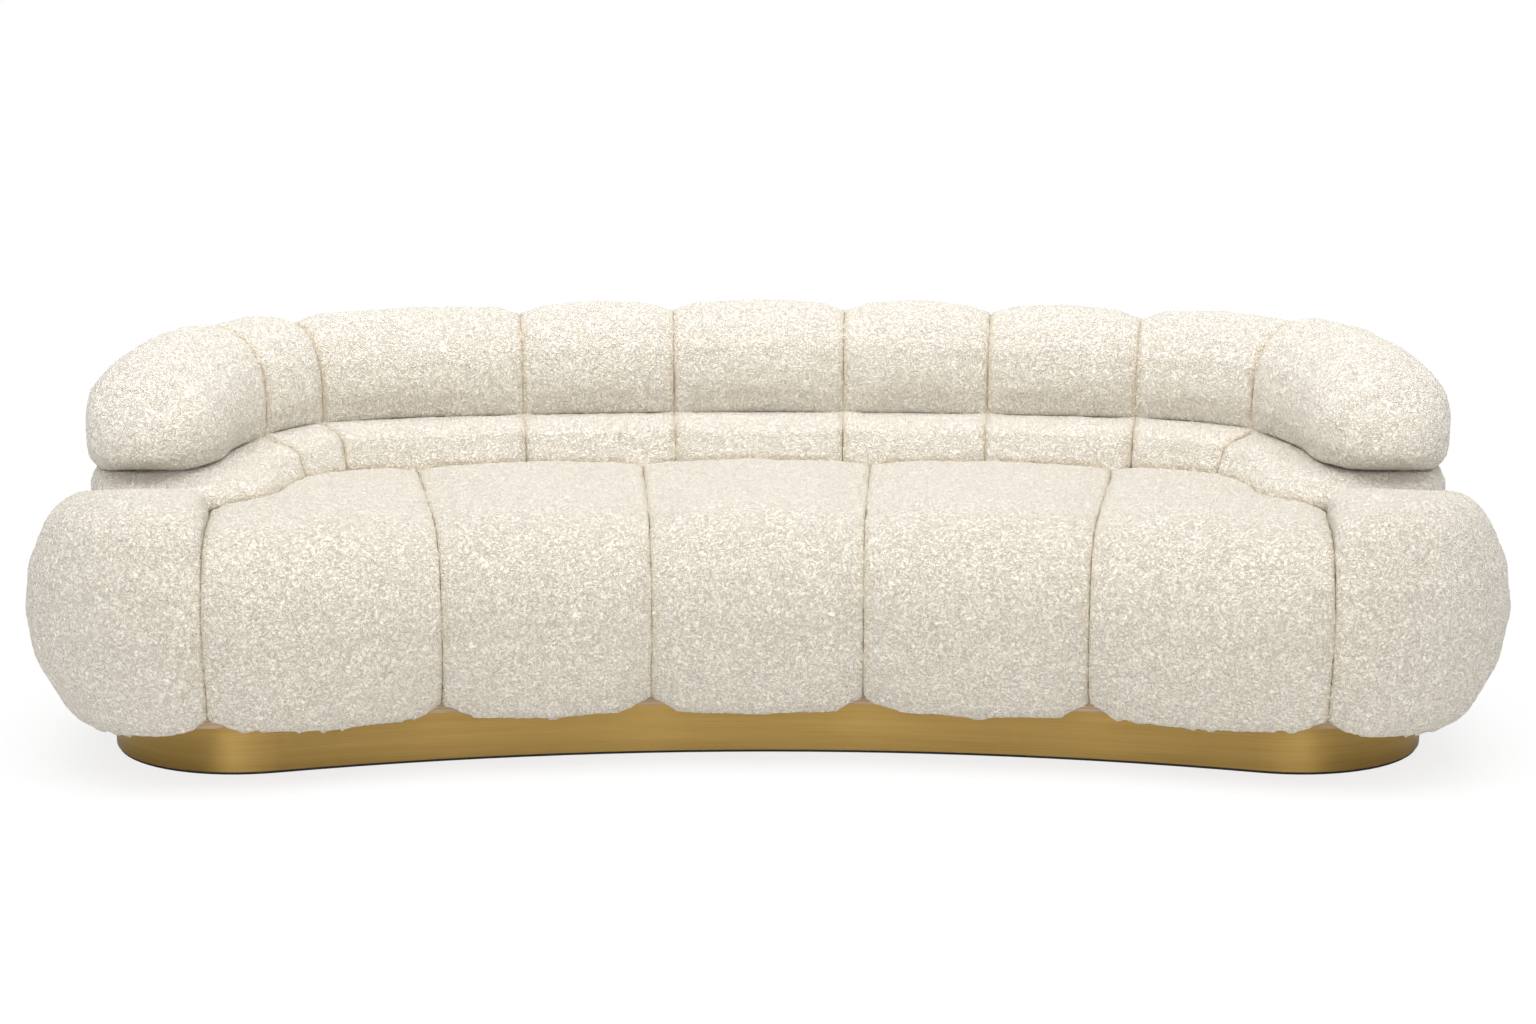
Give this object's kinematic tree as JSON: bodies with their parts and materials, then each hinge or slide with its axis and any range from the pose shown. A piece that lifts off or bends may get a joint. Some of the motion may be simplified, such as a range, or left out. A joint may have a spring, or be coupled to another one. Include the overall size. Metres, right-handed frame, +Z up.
{
  "type": "curved sofa",
  "caption": "Curved sofa with a concave front, deep stuffed seat lobes, a two-row channelled back that wraps into rounded arms, and a low metal-clad kidney plinth",
  "frame": {"origin": "middle of the bounding box at floor level", "axes": "+X to the viewer's right as one faces the sofa, -Y out of the seat toward the viewer, +Z up"},
  "size_m": [2.5972, 1.1524, 0.735],
  "materials": {
    "strip": "black edge strip",
    "band": "brushed lengthwise, lacquered",
    "timber": "plain ply and softwood, unseen",
    "lining": "thin black bottoming cloth",
    "seat_fabric": "ivory curly pile",
    "back_fabric": "ivory curly pile"
  },
  "bodies": {
    "root": {"floor_strip": "strip", "plinth_band": "band", "plinth_core": "timber", "plinth_rib_1": "timber", "plinth_rib_2": "timber", "plinth_rib_3": "timber", "plinth_rib_4": "timber", "plinth_rib_5": "timber", "plinth_rib_6": "timber", "dust_cover": "lining", "base_panel": "timber", "front_rail": "timber", "rear_rail": "timber", "cross_rail_1": "timber", "cross_rail_2": "timber", "cross_rail_3": "timber", "cross_rail_4": "timber", "cross_rail_5": "timber", "deck_panel": "timber", "back_sill": "timber", "back_board": "timber", "seat_lobes": "seat_fabric", "end_lobes": "seat_fabric", "rear_lobes": "seat_fabric", "lower_roll_front": "back_fabric", "lower_roll_rear": "back_fabric", "lower_arm_noses": "back_fabric", "upper_roll": "back_fabric", "upper_arm_noses": "back_fabric"}
  },
  "joints": []
}
